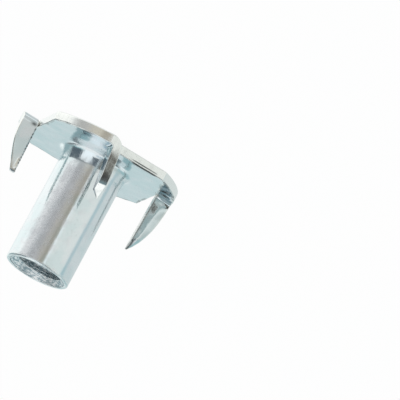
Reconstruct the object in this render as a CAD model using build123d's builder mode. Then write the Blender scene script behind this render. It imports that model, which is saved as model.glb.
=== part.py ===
from build123d import *
from math import cos, radians, sin, sqrt, tan
import os

os.makedirs("parts", exist_ok=True)

# Four-prong tee nut, M6 x 15, pressed and drawn from one steel blank, in millimetres.
# The outer face of the flange lies on z = 0, centred on the axis. The barrel and the prongs point to +Z.

# Blank and drawn barrel
sheet_t = 1.05
flange_r = 9.5
total_len = 15.1
barrel_r = 3.7
root_r = 0.6
end_chamfer = 0.15

# Tapped hole, with a rounded funnel where the sheet was drawn in
thread_r = 3.0
thread_pitch = 1.0
lead_in = 0.15
mouth_r = 4.4
mouth_depth = 1.8

# Prongs: each is sheared from the blank along x = cut_x, up to its fold, and folded up about a line parallel to X
prongs = 4
cut_x = 7.45
prong_face_y = 0.0
fold_angle = 82.0
fold_r = 0.35
prong_h = 7.3
tip_w = 0.35
tip_r = 0.25
bevel_len = 1.5
bevel_depth = 0.65
back_bevel_len = 0.6
back_bevel_depth = 0.15

# Rounding that the press leaves round the outer face
edge_r = 0.15

# The bore is at the tapping size, one pitch under the thread's outer diameter, with a lead-in cone at each end
bore_r = thread_r - thread_pitch / 2
lead_r = thread_r + lead_in
lead_depth = lead_r - bore_r

# The flat flange ends at flat_y, one outer fold radius from the outermost line of the fold
fold_outer_r = fold_r + sheet_t
flat_y = prong_face_y + fold_outer_r
lean = radians(90.0 - fold_angle)

# A prong's outer edge runs straight up from the flange's rim, then follows the blank's round edge in to the tip
rim_x = sqrt(flange_r**2 - flat_y**2)
tip_x = cut_x + tip_w
shoulder_z = prong_h - sqrt(flange_r**2 - (tip_x - rim_x + flange_r) ** 2)


def side_point(z, depth):
    """Point of the strip's section at height z, depth in from its convex side, beyond the fold."""
    y0 = flat_y - fold_outer_r * cos(lean)
    z0 = sheet_t + fold_r - fold_outer_r * sin(lean)
    return (y0 - (z - z0) * tan(lean) + depth / cos(lean), z)


# Flange disc with the barrel drawn out of its middle: half a section, turned about the axis
with BuildPart() as blank:
    with BuildSketch(Plane.XZ) as half_section:
        with BuildLine():
            funnel = TangentArc((lead_r, mouth_depth), (mouth_r, 0), tangent=(0, -1))
            Polyline(
                funnel @ 0,
                (bore_r, mouth_depth + lead_depth),
                (bore_r, total_len - lead_depth),
                (lead_r, total_len),
                (barrel_r - end_chamfer, total_len),
                (barrel_r, total_len - end_chamfer),
                (barrel_r, sheet_t),
                (flange_r, sheet_t),
                (flange_r, 0),
                funnel @ 1,
            )
        make_face()
        inner_corner = half_section.vertices().sort_by_distance((barrel_r, sheet_t))[0]
        fillet(inner_corner, radius=root_r)
    revolve(axis=Axis.Z)

# One prong with its fold, along +X: the bent strip's section, run out along X and trimmed to the prong's side view
with BuildPart() as prong:
    with BuildSketch(Plane.YZ.offset(cut_x)) as strip_section:
        with BuildLine():
            inner_bend = CenterArc((flat_y, sheet_t + fold_r), fold_r, -90, -fold_angle)
            outer_bend = CenterArc((flat_y, sheet_t + fold_r), fold_outer_r, -90, -fold_angle)
            Polyline(
                inner_bend @ 1,
                side_point(prong_h - bevel_len, sheet_t),
                side_point(prong_h, sheet_t - bevel_depth),
                side_point(prong_h, back_bevel_depth),
                side_point(prong_h - back_bevel_len, 0),
                outer_bend @ 1,
            )
            Line(inner_bend @ 0, outer_bend @ 0)
        make_face()
    extrude(amount=flange_r)
    with BuildSketch(Plane.XZ) as side_view:
        with BuildLine():
            outer_edge = RadiusArc((rim_x, shoulder_z), (tip_x, prong_h), -flange_r)
            Polyline(outer_edge @ 0, (rim_x, 0), (cut_x, 0), (cut_x, prong_h), outer_edge @ 1)
        make_face()
        tip = side_view.vertices().group_by(Axis.Y)[-1]
        fillet(tip.sort_by(Axis.X)[-1], radius=tip_r)
    extrude(amount=flange_r, both=True, mode=Mode.INTERSECT)

# The whole nut: the disc cut to a pinwheel, with a prong at each cut
with BuildPart() as tee_nut:
    add(blank.part)
    with BuildSketch() as pinwheel_cut:
        with PolarLocations(0, prongs):
            with Locations((cut_x, flat_y)):
                Rectangle(flange_r, 2 * flange_r, align=(Align.MIN, Align.MAX))
    extrude(amount=sheet_t, mode=Mode.SUBTRACT)
    with PolarLocations(0, prongs):
        add(prong.part)
    # Edges of the outer face, without the lines where the folds start and without the funnel's mouth
    outer_face_edges = tee_nut.edges().group_by(Axis.Z)[0].sort_by(SortBy.LENGTH)
    fillet(outer_face_edges[prongs:-1], radius=edge_r)

tee_nut.part.label = "tee_nut"
export_step(tee_nut.part, "parts/tee_nut.step")
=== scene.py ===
import math

import bpy
import numpy as np
from mathutils import Matrix, Vector
from mathutils.geometry import delaunay_2d_cdt


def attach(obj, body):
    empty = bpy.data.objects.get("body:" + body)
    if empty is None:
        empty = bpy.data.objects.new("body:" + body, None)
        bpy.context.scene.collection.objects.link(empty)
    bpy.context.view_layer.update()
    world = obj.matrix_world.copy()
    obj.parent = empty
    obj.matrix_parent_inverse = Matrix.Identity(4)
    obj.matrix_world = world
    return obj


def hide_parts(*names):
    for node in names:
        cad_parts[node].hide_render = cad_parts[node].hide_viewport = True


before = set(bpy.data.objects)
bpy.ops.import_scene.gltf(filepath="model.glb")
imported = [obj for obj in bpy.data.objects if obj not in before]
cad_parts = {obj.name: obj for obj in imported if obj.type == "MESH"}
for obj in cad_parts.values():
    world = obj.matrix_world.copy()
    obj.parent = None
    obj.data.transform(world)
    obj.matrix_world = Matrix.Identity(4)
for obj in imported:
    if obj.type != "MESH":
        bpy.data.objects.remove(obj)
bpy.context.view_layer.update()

# The pressed tee nut again, at the sizes of the part's source, with what a press, a tap and a plating bath leave on it.
# All shapes below are worked out in millimetres in the part's frame, and scaled to metres when a mesh is made.
SHEET_T = 1.05
FLANGE_R = 9.5
TOTAL_LEN = 15.1
BARREL_R = 3.7
THREAD_R = 3.0
PITCH = 1.0
BORE_R = THREAD_R - PITCH / 2
LEAD_R = THREAD_R + 0.15
MOUTH_R = 4.4
MOUTH_DEPTH = 1.8
CUT_X = 7.45
FOLD_ANGLE = math.radians(82.0)
FOLD_R = 0.35
PRONG_H = 7.3

FOLD_OUT_R = FOLD_R + SHEET_T
FLAT_Y = FOLD_OUT_R
LEAN = math.pi / 2 - FOLD_ANGLE
RIM_X = math.sqrt(FLANGE_R**2 - FLAT_Y**2)
RIM_CUT_X = math.sqrt(FLANGE_R**2 - CUT_X**2)  # where the rim meets a cut, in that quarter's frame

# Press marks: half the width of a sheared slit and how far its end tore, the rounding of a punched corner and of the
# two faces' edges, and the burr that the shear raised along the inside of the flange's edge, most of all on one lobe.
# At its far end the hole is opened out a little wider than drawn, through the first turn of the thread.
SLIT, SLIT_TEAR = 0.025, 0.1
CORNER_R = 0.4
FACE_EDGE, OUTER_EDGE = 0.08, 0.15
BURR_W, BURR_H, BURR_LOBE = 0.75, 0.06, 3
BURR_FROM, BURR_TO = (54.5, 58), (80, 84)  # degrees round that lobe
MOUTH_CONE_R, MOUTH_CONE_SLOPE = 3.36, 1.25
HOLE_SHADE_ANGLE = 225  # degrees round the axis, where shade is painted into the hole's far end

# What the press did differently to each prong, in turn from +X, and the shade painted on it: length added to the
# strip, height at which its round edge starts in, width to which it narrows, fullness of that edge and rounding of its
# convex side, how far the concave and the convex face fall away towards it, length and depth of the bevel on each of
# them, how far the convex face is ridged at the tip, height and width of the point, how much shade is painted on the
# bevel and on the sheared side, and the depth of a dent across the inside of the fold. One prong has a narrow groove
# by its tip.
STRETCH = (-0.56, -0.15, 0.0, 0.35)
SHOULDER_Z = (1.0, 2.03, 2.03, 2.03)
TIP_W = (0.35, 0.62, 0.35, 0.35)
FULLNESS = (0.2, -0.3, 0.0, 0.05)
PRONG_EDGE = (0.07, 0.13, 0.15, 0.15)
FALL = (0.0, 0.55, 0.45, 0.42)
BACK_FALL = (0.0, 0.17, 0.1, 0.0)
BEVEL = ((0.85, 0.8), (1.5, 0.65), (1.5, 0.65), (1.4, 0.7))
BACK_BEVEL = ((1.7, 0.25), (0.25, 0.08), (0.6, 0.15), (0.6, 0.15))
RIDGE = (0.0, 0.0, 0.16, 0.16)
POINT_H = (1.5, 0.25, 0.8, 0.65)
POINT_W = (0.16, 0.55, 0.2, 0.2)
TIP_SHADE = (0.8, 0.2, 0.2, 1.0)
SIDE_SHADE = (0.0, 0.0, 0.0, 0.25)
FOLD_DENT = (0.0, 0.0, 0.02, 0.06)
GROOVE_PRONG, GROOVE_X, GROOVE_W, GROOVE_D = 1, 0.36, 0.13, 0.045

# The drawn flare at the barrel's root as slopes of its wall, from its top down to the flange: height in millimetres and
# angle in degrees. Then the waves left in the pressed sheet and in the drawn wall.
FLARE = ((2.75, 0), (2.55, 6), (1.9, 9), (1.5, 24), (1.3, 45), (1.12, 72), (1.05, 88))
WAVE_H, WAVE_LEN = 0.018, 2.4
WALL_WAVE_H = 0.004

ROUND = 120  # columns round the axis
BEND_LEN = 1.25  # length of the blank that the fold takes up
BEND_Z = SHEET_T + FOLD_R
FOLD_END_Z = BEND_Z - (FOLD_R + SHEET_T / 2) * math.sin(LEAN)
STRIP_LEN = [BEND_LEN + (PRONG_H - FOLD_END_Z) / math.cos(LEAN) + extra for extra in STRETCH]


def arc(centre, radius, start, end, count):
    """Points on a circle between two angles in degrees, both ends included."""
    a = np.radians(np.linspace(start, end, count))
    return np.stack([centre[0] + radius * np.cos(a), centre[1] + radius * np.sin(a)], 1)


def line(p, q, step):
    """Points from p to q, both ends included, about one step apart."""
    n = max(2, int(math.ceil(math.dist(p, q) / step)) + 1)
    t = np.linspace(0, 1, n)[:, None]
    return np.array(p) * (1 - t) + np.array(q) * t


def turn(points, k):
    """The points turned k quarter turns about the axis."""
    c, s = ((1, 0), (0, 1), (-1, 0), (0, -1))[k % 4]
    out = np.array(points, float)
    x, y = out[..., 0].copy(), out[..., 1].copy()
    out[..., 0], out[..., 1] = c * x - s * y, s * x + c * y
    return out


def blend(x, start, end):
    """Smooth step from 0 at start to 1 at end."""
    t = np.clip((np.asarray(x, float) - start) / (end - start), 0, 1)
    return t * t * (3 - 2 * t)


def ripple(x, y, size):
    """Smooth uneven field between -1 and 1, whose bumps are about one size apart."""
    total = 0.0
    for i in range(7):
        a = 2.4 * i + 0.7
        pitch = size * (0.75 + 0.5 * (i * 0.618 % 1))
        total = total + np.sin(2 * math.pi * (x * math.cos(a) + y * math.sin(a)) / pitch + 1.9 * i)
    return np.tanh(total / 2.2)


def strip_height(s):
    """Height of a prong's middle, s along the blank from the line where the fold starts."""
    s = np.asarray(s, float)
    phi = np.clip(s / BEND_LEN, 0, 1) * FOLD_ANGLE
    mid = FOLD_R + SHEET_T / 2
    return BEND_Z - mid * np.cos(phi) + np.clip(s - BEND_LEN, 0, None) * math.sin(FOLD_ANGLE)


def outer_side(s, k):
    """x of a prong's outer edge: up from the rim, in along the blank's round edge, then sharply in to the point."""
    z, top = strip_height(s), float(strip_height(STRIP_LEN[k]))

    def curve(z):
        up = np.clip((z - SHOULDER_Z[k]) / (top - SHOULDER_Z[k]), 0, 1)
        return RIM_X - (RIM_X - CUT_X - TIP_W[k]) * up**2 + FULLNESS[k] * np.sin(math.pi * up) * up

    start = top - POINT_H[k]
    x0, x1 = float(curve(start)), CUT_X + SLIT + POINT_W[k]
    point = x0 + (x1 - x0) * (z - start) / POINT_H[k]
    return np.where(z > start, np.minimum(curve(z), point), curve(z))


def cut_side(s):
    """x of a prong's sheared side, which starts at the end of the slit where it tore."""
    s = np.asarray(s, float)
    rough = 0.03 * (1 + ripple(s * 1.7, s * 0.9, 0.5)) * blend(s, 0.4, 1.2)
    return CUT_X + SLIT + SLIT_TEAR * (1 - blend(s, 0.1, 1.5)) + rough * 0.5


def groove(x, below_tip):
    """Share of the groove's depth at places on its prong."""
    across = np.clip(1 - np.abs(x - CUT_X - GROOVE_X) / GROOVE_W, 0, 1)
    return across * blend(below_tip, 0.4, 0.6) * (1 - blend(below_tip, 1.5, 1.8))


def span(x, s, k):
    """How far in from the convex face a prong's metal starts and ends."""
    left, right = cut_side(s), outer_side(s, k)
    w = np.clip((x - left) / np.maximum(right - left, 0.1), 0, 1)
    below_tip = np.clip(STRIP_LEN[k] - s, 0, None) * math.cos(LEAN)
    lo, hi = (depth * np.clip(1 - below_tip / length, 0, 1) for length, depth in (BACK_BEVEL[k], BEVEL[k]))
    lo = lo + RIDGE[k] * (1 - blend(below_tip, 0.2, 1.7)) * np.abs(w - 0.45) + BACK_FALL[k] * w * blend(s, 0, BEND_LEN)
    if k == GROOVE_PRONG:
        lo = lo + GROOVE_D * groove(x, below_tip)
    hi = SHEET_T - hi - FOLD_DENT[k] * np.exp(-((np.asarray(s, float) - BEND_LEN) / 0.35) ** 2) * np.sin(math.pi * w)
    fall = 0.3 * w + 0.7 * np.clip((w - 0.45) / 0.55, 0, 1) ** 1.5
    hi = hi - FALL[k] * blend(s, 0.6 * BEND_LEN, BEND_LEN + 1.8) * fall
    return lo, np.maximum(hi, lo + 0.15)


def rounded(points, i, radius, count=7):
    """The polyline with its corner at index i replaced by an arc tangent to both of its neighbouring runs."""
    p, a, b = points[i], points[i - 1], points[(i + 1) % len(points)]
    u, v = (a - p) / np.linalg.norm(a - p), (b - p) / np.linalg.norm(b - p)
    half = math.acos(np.clip(u @ v, -1, 1)) / 2
    reach = radius / math.tan(half)
    centre = p + (u + v) / np.linalg.norm(u + v) * radius / math.sin(half)
    p0, p1 = p + u * reach, p + v * reach
    a0, a1 = p0 - centre, p1 - centre
    t = np.linspace(0, 1, count)[:, None]
    w = math.acos(np.clip(a0 @ a1 / radius**2, -1, 1))
    bent = centre + (np.sin((1 - t) * w) * a0 + np.sin(t * w) * a1) / math.sin(w)
    first = last = i
    while np.linalg.norm(points[first] - p) < reach + 0.02:
        first -= 1
    while np.linalg.norm(points[last] - p) < reach + 0.02:
        last += 1
    return np.concatenate([points[:first + 1], bent, points[last:]])


def blank_outline():
    """Outline of the flat blank with its four slits, anticlockwise, a quarter at a time."""
    corner_a = math.degrees(math.asin(CUT_X / FLANGE_R))
    rim = arc((0, 0), FLANGE_R, math.degrees(math.asin(FLAT_Y / FLANGE_R)), corner_a, 56)[1:]
    cut = line((rim[-1][0], CUT_X - SLIT), (-FLAT_Y, CUT_X - SLIT), 0.12)[1:]
    slit_end = arc((-FLAT_Y, CUT_X + SLIT_TEAR / 2), SLIT + SLIT_TEAR / 2, 270, 90, 9)[1:-1]
    quarters = []
    for k in range(4):
        after = (k + 1) % 4
        s = np.r_[np.linspace(STRIP_LEN[k], BEND_LEN, 70)[:-1], np.linspace(BEND_LEN, 0, 22)]
        outer = np.stack([outer_side(s, k), FLAT_Y - s], 1)
        s = np.r_[np.linspace(0, BEND_LEN, 22), np.linspace(BEND_LEN, STRIP_LEN[after], 70)[1:]]
        sheared = np.stack([-FLAT_Y + s, cut_side(s)], 1)
        quarter = np.concatenate([outer, rim, cut, slit_end, sheared])
        quarter = rounded(quarter, len(outer) + len(rim) - 1, CORNER_R, 9)
        tip = (STRIP_LEN[after] - FLAT_Y, float(outer_side(STRIP_LEN[after], after)))
        quarter = np.concatenate([quarter, line(quarter[-1], tip, 0.05)[1:-1]])
        quarters.append(turn(quarter, k))
    whole = np.concatenate(quarters)
    for k in range(4):
        width = float(outer_side(STRIP_LEN[k], k) - cut_side(STRIP_LEN[k]))
        for x in (cut_side(STRIP_LEN[k]), outer_side(STRIP_LEN[k], k)):
            corner = turn([(float(x), FLAT_Y - STRIP_LEN[k])], k)[0]
            i = int(np.argmin(np.linalg.norm(whole - corner, axis=1)))
            whole = rounded(np.roll(whole, len(whole) // 2 - i, axis=0), len(whole) // 2, 0.42 * width, 6)
    return whole


def inward(points):
    """Unit normals that point into an anticlockwise outline."""
    d = np.roll(points, -1, axis=0) - np.roll(points, 1, axis=0)
    n = np.stack([-d[:, 1], d[:, 0]], 1)
    return n / np.linalg.norm(n, axis=1, keepdims=True)


def inside(points, poly):
    """Even-odd test of points against a closed polyline."""
    x, y = points[:, 0][:, None], points[:, 1][:, None]
    x0, y0 = poly[:, 0][None], poly[:, 1][None]
    x1, y1 = np.roll(poly[:, 0], -1)[None], np.roll(poly[:, 1], -1)[None]
    odd = np.zeros(len(points), bool)
    for c in range(0, len(points), 4000):
        a, b = x[c:c + 4000], y[c:c + 4000]
        cross = (y0 > b) != (y1 > b)
        with np.errstate(divide="ignore", invalid="ignore"):
            xi = x0 + (b - y0) * (x1 - x0) / (y1 - y0)
        odd[c:c + 4000] = (cross & (a < xi)).sum(1) % 2 == 1
    return odd


def on_strip(points, k):
    """Which blank points lie on prong k, and their x and s along it."""
    p = turn(points, -k)
    on = (p[:, 0] > CUT_X) & (p[:, 1] < FLAT_Y) & (p[:, 1] > FLAT_Y - STRIP_LEN[k] - 0.5)
    return on, p[on, 0], FLAT_Y - p[on, 1]


def face_mesh(poly, hole, spacing):
    """Triangles between an outline and a round hole, with rows of points along the folds and a loose fill elsewhere."""
    nx = int(2 * FLANGE_R / spacing) + 2
    gx, gy = np.meshgrid(np.arange(-nx, nx + 1) * 1.0, np.arange(-nx, nx + 1) * 0.5 * math.sqrt(3))
    gx = gx + (np.arange(gy.shape[0])[:, None] % 2) / 2
    fill = np.stack([gx.ravel(), gy.ravel()], 1) * spacing
    fill = fill[np.hypot(fill[:, 0], fill[:, 1]) < FLANGE_R]
    for k in range(4):
        p = turn(fill, -k)
        band = (p[:, 0] > CUT_X - 0.1) & (p[:, 1] < FLAT_Y + spacing * 0.6)
        fill = fill[~(band & (p[:, 1] > FLAT_Y - STRIP_LEN[k] - 0.2))]
    rows = []
    for k in range(4):
        for s in np.r_[np.linspace(0, BEND_LEN, 22), np.linspace(BEND_LEN, STRIP_LEN[k], 44)[1:]]:
            x0, x1 = float(cut_side(s)), float(outer_side(s, k))
            n = max(1, int((x1 - x0) / (spacing * (0.6 if STRIP_LEN[k] - s > 2 else 0.35))))
            x = x0 + (np.arange(n) + 0.5) * (x1 - x0) / n
            rows.append(turn(np.stack([x, np.full(n, FLAT_Y - s)], 1), k))
    inner = np.concatenate([fill] + rows)
    inner = inner[inside(inner, poly)]
    far = np.full(len(inner), 1e9)
    for c in range(0, len(poly), 64):
        far = np.minimum(far, np.linalg.norm(inner[:, None] - poly[None, c:c + 64], axis=2).min(1))
    inner = inner[far > 0.06]
    ring_r = hole + np.array([0.0, 0.12, 0.28, 0.5])
    th = np.arange(ROUND) * 2 * math.pi / ROUND
    rings = [np.stack([r * np.cos(th), r * np.sin(th)], 1) for r in ring_r]
    inner = inner[np.hypot(inner[:, 0], inner[:, 1]) > ring_r[-1] + spacing * 0.6]
    pts = np.concatenate([poly, rings[0], inner] + rings[1:])
    n = len(poly)
    edges = [(i, (i + 1) % n) for i in range(n)] + [(n + i, n + (i + 1) % ROUND) for i in range(ROUND)]
    out = delaunay_2d_cdt([Vector(p) for p in pts], edges, [], 0, 1e-6, True)
    got = np.array([tuple(v) for v in out[0]])
    tris = np.array([tuple(f) for f in out[2]])
    mid = got[tris].mean(1)
    tris = tris[inside(mid, poly) & ~inside(mid, rings[0])]
    a, b, c = got[tris[:, 0]], got[tris[:, 1]], got[tris[:, 2]]
    area = (b[:, 0] - a[:, 0]) * (c[:, 1] - a[:, 1]) - (b[:, 1] - a[:, 1]) * (c[:, 0] - a[:, 0])
    tris[area < 0] = tris[area < 0][:, ::-1]
    return got, tris[np.abs(area) > 1e-9]


def fold(points, depth):
    """Blank points at a share of the metal's thickness (0 the outer face, 1 the inner) to their place on the part."""
    calm = blend(np.hypot(points[:, 0], points[:, 1]), 5.05, 5.9)
    wave = ripple(points[:, 0], points[:, 1], WAVE_LEN)
    level = depth * SHEET_T + WAVE_H * calm * (depth * wave + (1 - depth) * 0.4 * (1 - wave))
    out = np.column_stack([points, level])
    for k in range(4):
        on, x, s = on_strip(points, k)
        lo, hi = span(x, s, k)
        d = lo + depth[on] * (hi - lo) + level[on] - depth[on] * SHEET_T
        phi = np.clip(s / BEND_LEN, 0, 1) * FOLD_ANGLE
        run = np.clip(s - BEND_LEN, 0, None)
        y = FLAT_Y - (FOLD_OUT_R - d) * np.sin(phi) - run * math.cos(FOLD_ANGLE)
        z = BEND_Z - (FOLD_OUT_R - d) * np.cos(phi) + run * math.sin(FOLD_ANGLE)
        out[on] = turn(np.stack([x, y, z], 1), k)
    return out


def thickness(points):
    """Thickness of the metal at blank points."""
    t = np.full(len(points), SHEET_T)
    for k in range(4):
        on, x, s = on_strip(points, k)
        lo, hi = span(x, s, k)
        t[on] = hi - lo
    return t


def burr(outline):
    """Along the outline: width and height of the burr, then how much shade is painted along it, along the break on the
    wall below it, and on the prongs' cut sides."""
    on_flange, cut_edge_shade, side = np.ones(len(outline)), np.zeros(len(outline)), np.zeros(len(outline))
    for k in range(4):
        p = turn(outline, -k)
        near = (p[:, 0] > CUT_X) & (p[:, 1] > FLAT_Y - STRIP_LEN[k] - 0.5) & (p[:, 1] < FLAT_Y + 1.2)
        on_flange[near] = np.minimum(on_flange[near], blend(p[near, 1], FLAT_Y, FLAT_Y + 1.0))
        slit = (np.abs(p[:, 0] - CUT_X) < 2 * SLIT) & (p[:, 1] < FLAT_Y) & (p[:, 0] < CUT_X)
        on_flange[slit] = np.minimum(on_flange[slit], 1 - blend(p[slit, 1], -FLAT_Y - 1.0, -FLAT_Y - 0.2))
        # Painted shade along the prongs' cut sides: patchy near black on the outer face's edge, and on one prong over
        # the whole side.
        on, x, s = on_strip(outline, k)
        side[on] = (np.abs(x - cut_side(s)) < 0.03) * SIDE_SHADE[k]
        cut_edge_shade[on] = (np.abs(x - cut_side(s)) < 0.03) * blend(s, 0.3, 1.0) * np.clip(0.35 + 0.6 * ripple(s, 0.4 * s, 0.5), 0, 1)
    p = turn(outline, -BURR_LOBE)
    angle = np.degrees(np.arctan2(p[:, 1], p[:, 0]))
    uneven = ripple(outline[:, 0], outline[:, 1], 1.3)
    torn_out = blend(angle, *BURR_FROM) * (1 - blend(angle, *BURR_TO))
    raised = (0.2 + 0.8 * torn_out) * (0.75 + 0.25 * uneven)
    # Painted shade: a dark line along the burr and the rounding below it, darkest where the burr is torn out.
    line = np.clip(0.35 + 0.25 * uneven + torn_out, 0, 1) * on_flange
    corner = np.min([np.linalg.norm(turn(outline, -k) - (RIM_CUT_X, CUT_X), axis=1) for k in range(4)], axis=0)
    width = BURR_W * on_flange * (1 - 0.7 * np.exp(-(corner / 0.6) ** 2))
    return width, BURR_H * raised * on_flange, line, torn_out * (0.8 + 0.2 * uneven) * on_flange, cut_edge_shade, side


# The last mark is painted shade in near black: by the burr, on the prongs' cut sides, bevels and folds, and in the
# hole.
MARKS = ("sheared", "satin", "drawn", "tapped", "bare")


class Shell:
    """A mesh gathered patch by patch, whose patches are welded where they meet, with marks that its material reads."""

    def __init__(self):
        self.verts, self.faces, self.marks, self.count = [], [], [], 0

    def add(self, verts, faces, **marks):
        verts = np.asarray(verts, float)
        self.verts.append(verts)
        self.marks.append(np.stack([np.zeros(len(verts)) + marks.get(mark, 0.0) for mark in MARKS], 1))
        self.faces += [tuple(int(i) + self.count for i in f) for f in faces]
        self.count += len(verts)

    def grid(self, pts, closed=True, flip=False, **marks):
        """Quads between rows of points. A closed grid joins each row's last point to its first."""
        m, n = pts.shape[:2]
        faces = []
        for i in range(m - 1):
            for j in range(n if closed else n - 1):
                a, b = i * n + j, i * n + (j + 1) % n
                quad = (a, b, b + n, a + n)
                faces.append(quad[::-1] if flip else quad)
        self.add(pts.reshape(-1, 3), faces, **{mark: np.ravel(value) for mark, value in marks.items()})

    def build(self, name, tol=2e-4):
        verts, marks = np.concatenate(self.verts), np.concatenate(self.marks)
        _, first, index = np.unique(np.round(verts / tol).astype(np.int64), axis=0, return_index=True, return_inverse=True)
        index = index.ravel()
        welded = np.zeros((len(first), len(MARKS)))
        np.maximum.at(welded, index, marks)
        faces = []
        for face in self.faces:
            loop = []
            for i in face:
                j = int(index[i])
                if not loop or loop[-1] != j:
                    loop.append(j)
            if len(loop) > 1 and loop[0] == loop[-1]:
                loop.pop()
            if len(loop) > 2 and len(set(loop)) == len(loop):
                faces.append(loop)
        mesh = bpy.data.meshes.new(name)
        mesh.from_pydata([tuple(p * 0.001) for p in verts[first]], [], faces)
        for column, mark in enumerate(MARKS):
            layer = mesh.attributes.new(mark, "FLOAT", "POINT")
            layer.data.foreach_set("value", welded[:, column])
        mesh.update()
        return mesh


def weighted_normals(mesh):
    """Smooth shading whose vertex normals lean to the larger faces, so that flats stay flat beside small roundings."""
    n = len(mesh.polygons)
    area = np.empty(n)
    mesh.polygons.foreach_get("area", area)
    fn = np.empty(n * 3)
    mesh.polygons.foreach_get("normal", fn)
    fn = fn.reshape(-1, 3) * area[:, None]
    totals = np.empty(n, np.int64)
    mesh.polygons.foreach_get("loop_total", totals)
    lv = np.empty(len(mesh.loops), np.int64)
    mesh.loops.foreach_get("vertex_index", lv)
    vn = np.zeros((len(mesh.vertices), 3))
    np.add.at(vn, lv, fn[np.repeat(np.arange(n), totals)])
    length = np.linalg.norm(vn, axis=1, keepdims=True)
    vn = vn / np.where(length > 0, length, 1)
    mesh.polygons.foreach_set("use_smooth", np.ones(n, bool))
    mesh.normals_split_custom_set_from_vertices([tuple(p) for p in vn])
    mesh.update()


ANGLES = np.arange(ROUND) * 2 * math.pi / ROUND


def revolve(profile, *waves):
    """Rows of points round the axis, one for each (radius, height). A wave is a size and a height for each row."""
    p = np.array(profile)
    r, z = np.repeat(p[:, :1], ROUND, 1), np.repeat(p[:, 1:], ROUND, 1)
    for size, height in waves:
        drawn = 0.25 * z
        uneven = ripple(BARREL_R * np.cos(ANGLES) + drawn, BARREL_R * np.sin(ANGLES) - drawn, size)
        r = r + np.asarray(height)[:, None] * uneven
    return np.stack([r * np.cos(ANGLES), r * np.sin(ANGLES), z], 2)


def thread_radius(phase):
    """Radius of the tapped hole at a share of the pitch: crest at 0 and 1, root at a half."""
    p = np.abs((phase + 0.5) % 1 - 0.5) * PITCH
    crest, root = 0.13 * PITCH, 0.425 * PITCH
    return BORE_R + (THREAD_R - BORE_R) * np.clip((p - crest) / (root - crest), 0, 1)


def bore_rows(z, angles):
    """Points on the wall of the tapped hole, opened out by a cone at the funnel and broken at the far end."""
    r = thread_radius(z / PITCH - angles / (2 * math.pi))
    chatter = 0.018 * ripple(2.5 * np.cos(angles) + 0.4 * z, 2.5 * np.sin(angles) - 0.7 * z, 0.55)
    lead = np.maximum(LEAD_R - (z - MOUTH_DEPTH), MOUTH_CONE_R - MOUTH_CONE_SLOPE * (TOTAL_LEN - z))
    r = np.maximum(r + chatter * blend(THREAD_R - lead, 0, 0.3), lead)
    return np.stack([r * np.cos(angles), r * np.sin(angles), z], 2)


def add_bore(shell, z_lo, z_hi, end):
    """The tapped hole between two heights: rows follow the thread's helix, and are level in the two ends."""
    def hole_shade(z, angles):
        """Painted shade in the hole's far end, on one side."""
        round_it = np.degrees(angles) - HOLE_SHADE_ANGLE
        return 0.35 * np.exp(-(round_it / 20) ** 2) * blend(z, TOTAL_LEN - 1.6, TOTAL_LEN - 0.8)

    steps = np.array([0, .06, .115, .145, .2, .26, .32, .38, .41, .44, .5, .56, .59, .62, .68, .74, .8, .855, .885, .94])
    starts = np.concatenate([steps + t for t in range(int(z_lo) - 2, int(z_hi) + 2)]) * PITCH
    around = np.append(ANGLES, 2 * math.pi)
    z = np.clip(starts[:, None] + PITCH * around / (2 * math.pi), z_lo + end, z_hi - end)
    shell.grid(bore_rows(z, around), closed=False, tapped=1, bare=hole_shade(z, around))
    for a in (z_lo, z_hi - end):
        z = np.repeat(np.linspace(a, a + end, 24)[:, None], ROUND, 1)
        shell.grid(bore_rows(z, ANGLES), tapped=1, bare=hole_shade(z, ANGLES))


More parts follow.
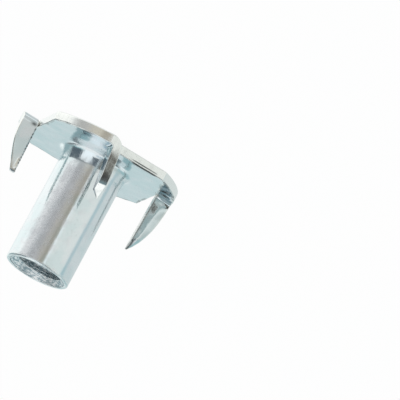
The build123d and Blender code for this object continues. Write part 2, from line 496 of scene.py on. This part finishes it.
def tee_nut_mesh():
    shell = Shell()
    outline = blank_outline()
    into = inward(outline)
    thick = thickness(outline)
    edge = np.full(len(outline), OUTER_EDGE)
    for k in range(4):
        on, x, along = on_strip(outline, k)
        edge[on] += (PRONG_EDGE[k] - OUTER_EDGE) * blend(along, 0, BEND_LEN)
    a, b = np.minimum(FACE_EDGE, 0.3 * thick), np.minimum(edge, 0.3 * thick)
    # Painted shade: dark lines along the burr, on the break below it and along the prongs' cut sides.
    width, height, line_bare, break_bare, cut_edge_shade, side = burr(outline)
    height = height / thick
    inner_line = line_bare * np.clip(height * SHEET_T / BURR_H * 2 - 0.8, 0, 1)
    # sheared edge all round the blank: the burr, the inner face's rounding, the wall, the outer face's rounding
    ones, none = np.ones(len(outline)), np.zeros(len(outline))
    rows = [
        (a + width, ones, none, none),
        (a + 0.97 * width, 1 + 0.1 * height, none, inner_line),
        (a + 0.72 * width, 1 + 0.9 * height, none, inner_line),
        (a + 0.62 * width, 1 + height, none, none),
        (a + 0.34 * width, 1 + height, none, none),
        (a + 0.26 * width, 1 + height, 0.3 * ones, line_bare),
    ]
    quarter = np.radians(np.linspace(0, 90, 6))
    for t in quarter:
        dark = np.maximum(line_bare, 1.8 * side) if t < 1.3 else side
        rows.append((a * (1 - math.sin(t)), 1 + height - (height + a / thick) * (1 - math.cos(t)), ones, dark))
    for u, dark in ((0.09, none), (0.17, break_bare), (0.25, break_bare), (0.33, none), (0.55, none), (0.8, none)):
        rows.append((none, (1 - a / thick) * (1 - u) + b / thick * u, ones, np.maximum(dark, side)))
    for t in quarter[::-1]:
        rows.append((b * (1 - math.sin(t)), b / thick * (1 - math.cos(t)), ones * (t > 0), cut_edge_shade))
    band = np.stack([fold(outline + into * inset[:, None], depth) for inset, depth, _, _ in rows])
    shell.grid(band, flip=True, sheared=np.stack([row[2] for row in rows]), bare=np.stack([row[3] for row in rows]))
    # the two faces
    z, slope = np.array(FLARE).T
    steps = np.linspace(z[0], z[-1], 90)
    run = np.tan(np.radians(np.interp(-steps, -z, slope)))
    spread = np.r_[0, np.cumsum((run[1:] + run[:-1]) / 2 * -np.diff(steps))]
    keep = np.unique(np.r_[np.arange(0, 60, 5), np.arange(60, 90, 2), 89])
    flare = np.stack([BARREL_R + spread, steps], 1)[keep][::-1]
    for inset, hole, depth in ((a + width, flare[0][0], 1.0), (b, MOUTH_R + 0.12, 0.0)):
        flat, tris = face_mesh(outline + into * inset[:, None], hole, 0.24)
        # Painted shade: on the inner face, near black over each point's bevel; on the outer face, a dark spot in each
        # fold by its slit's end.
        face_shade, polished = np.zeros(len(flat)), np.zeros(len(flat))
        for k in range(4):
            on, x, along = on_strip(flat, k)
            below_tip = STRIP_LEN[k] - along
            if depth:
                patchy = np.clip(0.7 + 0.6 * ripple(x, along, 0.5), 0, 1) * (1 - blend(x, CUT_X + 0.25, CUT_X + 0.55))
                face_shade[on] = TIP_SHADE[k] * patchy * (1 - blend(below_tip, BEVEL[k][0] - 0.1, BEVEL[k][0] + 0.1))
            else:
                face_shade[on] = np.exp(-((x - CUT_X - 0.5) / 0.35) ** 2 - ((along - 1.12) / 0.13) ** 2)
                if k == GROOVE_PRONG:
                    polished[on] = np.clip(groove(x, below_tip) * 3 + 0.5 * (1 - blend(below_tip, 0.5, 2.5)), 0, 1)
        shell.add(fold(flat, np.full(len(flat), depth)), tris if depth else tris[:, ::-1], bare=face_shade, sheared=polished)
    # barrel: flare, wall, rounded end and ring. One side of the wall is scuffed to a satin
    wall = line((BARREL_R, FLARE[0][0]), (BARREL_R, TOTAL_LEN - 0.16), 0.25)[1:]
    profile = np.concatenate([flare, wall])
    calm = blend(profile[:, 1], SHEET_T, SHEET_T + 0.8) * (1 - blend(profile[:, 1], TOTAL_LEN - 1, TOTAL_LEN - 0.2))
    side = np.cos(ANGLES - math.radians(36))
    satin = blend(side, 0.9, 0.985)[None] * blend(profile[:, 1], 2.5, 4.0)[:, None]
    root = blend(profile[:, 1], 1.1, 1.4) * (1 - blend(profile[:, 1], 2.4, 3.2))
    rubbed = 1 + 4 * root[:, None] * np.ones(ROUND)
    shell.grid(revolve(profile, (2.1, WALL_WAVE_H * calm), (0.9, 0.012 * root)), satin=satin, drawn=rubbed)
    lip = 0.06
    ring = np.concatenate([
        arc((BARREL_R - 0.16, TOTAL_LEN - 0.16), 0.16, 0, 90, 8),
        arc((MOUTH_CONE_R + 0.5 * lip, TOTAL_LEN - lip), lip, 90, 130, 4),
        [(MOUTH_CONE_R - MOUTH_CONE_SLOPE * 0.08, TOTAL_LEN - 0.08)],
    ])
    shell.grid(revolve(ring), sheared=0.3, tapped=0.3)
    # funnel
    rad = ((MOUTH_R - LEAD_R) ** 2 + MOUTH_DEPTH**2) / (2 * (MOUTH_R - LEAD_R))
    half = math.degrees(math.asin(MOUTH_DEPTH / rad))
    tube = arc((LEAD_R + rad, MOUTH_DEPTH), rad, 180, 180 + half - 4.5, 20)
    soft = np.array([(MOUTH_R + 0.12, 0.0), (MOUTH_R + 0.045, 0.008), (MOUTH_R - 0.025, 0.032)])
    shell.grid(revolve(np.concatenate([soft, tube[::-1], [(LEAD_R - 0.1, MOUTH_DEPTH + 0.1)]])))
    add_bore(shell, MOUTH_DEPTH + 0.1, TOTAL_LEN - 0.08, 0.7)
    return shell.build("tee_nut_pressed")


class Nodes:
    """Short calls that add nodes to a tree and join them."""

    def __init__(self, tree):
        self.tree = tree

    def node(self, kind, sockets=None, **settings):
        n = self.tree.nodes.new("ShaderNode" + kind)
        for name, value in settings.items():
            setattr(n, name, value)
        for name, value in (sockets or {}).items():
            if isinstance(value, bpy.types.NodeSocket):
                self.tree.links.new(value, n.inputs[name])
            else:
                n.inputs[name].default_value = value
        return n

    def math(self, operation, *values):
        return self.node("Math", dict(enumerate(values)), operation=operation).outputs[0]

    def step(self, value, start, end, low=0.0, high=1.0):
        """Smooth step between two values, as wide apart as low and high."""
        ends = {"Value": value, "From Min": start, "From Max": end, "To Min": low, "To Max": high}
        return self.node("MapRange", ends, interpolation_type="SMOOTHSTEP").outputs[0]

    def mix(self, factor, a, b):
        sockets = {"Factor": factor, "A": a, "B": b}
        n = self.tree.nodes.new("ShaderNodeMix")
        n.data_type = "RGBA"
        for socket in n.inputs:
            value = sockets.get(socket.name) if socket.enabled else None
            if isinstance(value, bpy.types.NodeSocket):
                self.tree.links.new(value, socket)
            elif value is not None:
                socket.default_value = value if socket.name == "Factor" else (*value, 1)
        return n.outputs["Result"]

    def noise(self, place, scale, detail=2.0, roughness=0.5):
        return self.node("TexNoise", {"Vector": place, "Scale": scale, "Detail": detail, "Roughness": roughness}).outputs[0]


def new_material(name):
    m = bpy.data.materials.new(name)
    m.use_nodes = True
    m.node_tree.nodes.clear()
    return m, Nodes(m.node_tree)


def zinc_plate():
    """Bright zinc over pressed steel: blue-white, in places tinted or dulled, with draw lines, dimples and pinholes."""
    m, g = new_material("zinc_plate")
    place = g.node("TexCoord").outputs["Object"]
    mm = g.node("VectorMath", {0: place, "Scale": 1000.0}, operation="SCALE").outputs[0]
    drawn = g.node("VectorMath", {0: mm, 1: (1.0, 1.0, 0.07)}, operation="MULTIPLY").outputs[0]
    sheared, satin, wall, tapped, bare = (g.node("Attribute", attribute_name=mark).outputs["Fac"] for mark in MARKS)
    threadwise = g.node("VectorMath", {0: mm, 1: (1.0, 1.0, 5.0)}, operation="MULTIPLY").outputs[0]
    tint = g.noise(mm, 0.38, 3.0)
    cloud = g.noise(mm, 0.9, 4.0, 0.6)
    lines = g.math("MULTIPLY", g.noise(drawn, 3.2, 3.0, 0.6), g.math("MAXIMUM", wall, sheared))
    dimples = g.noise(mm, 2.6, 3.0, 0.55)
    pinholes = g.noise(mm, 7.0, 2.0)
    glint_and_shade_flecks = g.noise(threadwise, 2.1, 2.0, 0.55)

    colour = g.mix(g.step(tint, 0.42, 0.6), (0.79, 0.83, 0.85), (0.72, 0.80, 0.82))
    colour = g.mix(g.step(cloud, 0.5, 0.66, 0.0, 0.5), colour, (0.79, 0.79, 0.82))
    colour = g.mix(g.math("MULTIPLY", satin, 0.8), colour, (0.72, 0.72, 0.75))
    colour = g.mix(sheared, colour, (0.90, 0.91, 0.89))
    # In the tapped hole the colour is painted: dark teal flecks as painted shade, white flecks as painted glints.
    colour = g.mix(tapped, colour, g.mix(g.step(glint_and_shade_flecks, 0.4, 0.6), (0.42, 0.52, 0.56), (1.0, 1.0, 1.0)))
    colour = g.mix(g.step(pinholes, 0.66, 0.72, 0.0, 0.5), colour, (0.45, 0.47, 0.48))
    # Painted shade: near black where the last of the marks is set.
    colour = g.mix(bare, colour, (0.10, 0.11, 0.11))

    dull = g.math("ADD", g.step(cloud, 0.44, 0.7, 0.0, 0.1), g.step(lines, 0.4, 0.7, 0.0, 0.06))
    worn = g.math("ADD", g.math("MULTIPLY", satin, 0.16), g.math("MULTIPLY", sheared, 0.03))
    worn = g.math("ADD", worn, g.math("ADD", g.math("MULTIPLY", tapped, 0.4), g.math("MULTIPLY", bare, 0.3)))
    roughness = g.math("ADD", g.math("ADD", dull, worn), 0.08)

    relief = g.math("ADD", g.math("MULTIPLY", dimples, 0.7), g.math("MULTIPLY", lines, 0.5))
    rubbed = g.math("MULTIPLY", g.math("ADD", satin, tapped), 1.4)
    relief = g.math("ADD", relief, g.math("MULTIPLY", g.noise(mm, 3.5, 3.0, 0.6), rubbed))
    bump = g.node("Bump", {"Height": relief, "Strength": 1.0, "Distance": 6e-6}).outputs[0]
    shader = {"Base Color": colour, "Metallic": 1.0, "Roughness": roughness, "Normal": bump}
    bsdf = g.node("BsdfPrincipled", shader).outputs[0]
    g.node("OutputMaterial", {"Surface": bsdf})
    return m


def pale_floor():
    """Pale matt floor that the camera sees almost white, with the object's shadow left in it."""
    m, g = new_material("pale_floor")
    matte = g.node("BsdfDiffuse", {"Color": (0.9, 0.9, 0.9, 1)}).outputs[0]
    glow = g.node("Emission", {"Strength": 1.0}).outputs[0]
    seen = g.math("MULTIPLY", g.node("LightPath").outputs["Is Camera Ray"], 0.97)
    n = g.node("MixShader", {0: seen, 1: matte, 2: glow})
    g.node("OutputMaterial", {"Surface": n.outputs[0]})
    return m


mesh = tee_nut_mesh()
weighted_normals(mesh)
mesh.materials.append(zinc_plate())
nut = bpy.data.objects.new("pressed_nut", mesh)
bpy.context.scene.collection.objects.link(nut)
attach(nut, "root")
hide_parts("tee_nut")

bpy.ops.mesh.primitive_plane_add(size=3.0, location=(0, 0, -0.00005))
floor = bpy.context.object
floor.name = "floor"
floor.data.materials.append(pale_floor())
floor.visible_glossy = False

# World: a pale tent with soft cards. Azimuths are measured from the camera's side, and all angles are in degrees.
CAMERA_SIDE = 11.4
SURROUND = (0.95, 0.98, 0.98)
CARDS = (
    # azimuth, elevation, half width, half height, softness across and up, colour
    (-130, -15, 48, 40, 12, 12, (0.69, 0.75, 0.75)),
    (-45, -15, 34, 40, 6, 6, (0.83, 0.865, 0.84)),
    (-85, -14, 7, 30, 5, 6, (0.50, 0.63, 0.66)),
    (105, -22, 48, 38, 9, 8, (1.12, 1.14, 1.12)),
    (180, 20, 60, 16, 10, 10, (0.63, 0.745, 0.755)),
    (180, -66, 60, 18, 20, 6, (0.66, 0.69, 0.69)),
    (-75, 14, 20, 12, 8, 8, (0.60, 0.64, 0.62)),
    (-120, 22, 36, 14, 8, 6, (0.42, 0.58, 0.60)),
    (-100, 73, 78, 20, 10, 5, (0.34, 0.41, 0.43)),
    (-90, 58, 17, 14, 8, 6, (0.17, 0.19, 0.19)),
    # low down in front
    (18, -20, 14, 12, 6, 6, (0.60, 0.575, 0.505)),
    (38, -20, 11, 12, 9, 6, (0.47, 0.475, 0.47)),
    (3, -20, 7, 12, 3, 6, (0.42, 0.395, 0.34)),
    (-12, -34, 12, 10, 6, 5, (0.66, 0.68, 0.66)),
    (-15, -68, 38, 16, 10, 5, (0.60, 0.63, 0.62)),
    # a darker room above the level of the table, with one bright opening
    (88, 24, 31, 13, 8, 6, (0.37, 0.53, 0.56)),
    (128, 9, 20, 17, 6, 4, (0.36, 0.48, 0.50)),
    (159, 2, 12, 12, 5, 3, (1.05, 1.12, 1.10)),
    (80, 7, 27, 17, 4, 3, (0.115, 0.145, 0.17)),
    (1, 3, 17, 12, 4, 3, (0.12, 0.15, 0.175)),
    (-10, 33, 12, 10, 5, 5, (0.36, 0.54, 0.64)),
    (32, 22, 18, 24, 5, 4, (1.0, 1.07, 1.10)),
    (46, -7.5, 38, 2.5, 6, 2, (0.22, 0.25, 0.26)),
    (54, -10.0, 12, 3.5, 4, 1, (0.22, 0.25, 0.26)),
    (132, 41, 15, 14, 5, 5, (0.25, 0.28, 0.29)),
    (-30, 51, 16, 8, 6, 4, (1.12, 1.14, 1.15)),
    (-36, 0, 6, 10, 4, 4, (0.38, 0.46, 0.46)),
    (-40, 32, 20, 8, 5, 4, (0.17, 0.25, 0.28)),
    (-29, 17, 9, 9, 4, 3, (0.05, 0.05, 0.05)),
    (-22, 3, 6, 13, 2, 2, (0.12, 0.115, 0.10)),
)


def studio(world):
    world.use_nodes = True
    g = Nodes(world.node_tree)
    split = g.node("SeparateXYZ", {0: g.node("TexCoord").outputs["Generated"]}).outputs
    azimuth = g.math("MULTIPLY", g.math("ARCTAN2", split[1], split[0]), 180 / math.pi)
    elevation = g.math("MULTIPLY", g.math("ARCSINE", split[2]), 180 / math.pi)
    # the cards' edges are uneven where they stand above the table's level
    ragged = g.step(elevation, -13.0, -7.0)
    place = g.node("TexCoord").outputs["Generated"]
    for scale, reach in ((9.0, 12.0), (30.0, 8.0)):
        sway = g.math("MULTIPLY", g.math("SUBTRACT", g.noise(place, scale, 2.0), 0.5), ragged)
        azimuth = g.math("ADD", azimuth, g.math("MULTIPLY", sway, reach))
        elevation = g.math("ADD", elevation, g.math("MULTIPLY", sway, reach / 2))
    tone = SURROUND
    for az, el, wide, high, soft_across, soft_up, colour in CARDS:
        away = g.math("ABSOLUTE", g.math("WRAP", g.math("SUBTRACT", azimuth, az + CAMERA_SIDE), 180.0, -180.0))
        over = g.math("ABSOLUTE", g.math("SUBTRACT", elevation, float(el)))
        across = g.step(away, wide + soft_across, wide - soft_across)
        up = g.step(over, high + soft_up, high - soft_up)
        tone = g.mix(g.math("MULTIPLY", across, up), tone, colour)
    seen = g.mix(g.node("LightPath").outputs["Is Camera Ray"], tone, (1.0, 1.0, 1.0))
    g.tree.links.new(seen, g.tree.nodes["Background"].inputs["Color"])


world = bpy.data.worlds.new("studio")
bpy.context.scene.world = world
studio(world)

# Camera: the photograph's direction and distance. FOCAL is in pixels of the picture, and ORIGIN_PX is where the part's
# origin falls in it.
AZIMUTH, ELEVATION, ROLL = 12.3917, 15.5598, 151.9585
DISTANCE = 0.70776
PICTURE = 400
FOCAL = 6513.8
ORIGIN_PX = (100.4536, 153.4437)


def photo_camera():
    data = bpy.data.cameras.new("camera")
    data.sensor_width = 36.0
    data.lens = FOCAL / PICTURE * data.sensor_width
    camera = bpy.data.objects.new("camera", data)
    bpy.context.scene.collection.objects.link(camera)
    level = Matrix.Rotation(math.radians(90 + AZIMUTH), 3, "Z") @ Matrix.Rotation(math.radians(90 - ELEVATION), 3, "X")
    facing = level @ Matrix.Rotation(math.radians(-ROLL), 3, "Z")
    aside = Vector(((PICTURE / 2 - ORIGIN_PX[0]) / FOCAL, (ORIGIN_PX[1] - PICTURE / 2) / FOCAL, 1)) * DISTANCE
    camera.matrix_world = Matrix.Translation(facing @ aside) @ facing.to_4x4()
    bpy.context.scene.camera = camera


photo_camera()
bpy.context.scene.view_settings.view_transform = "Standard"
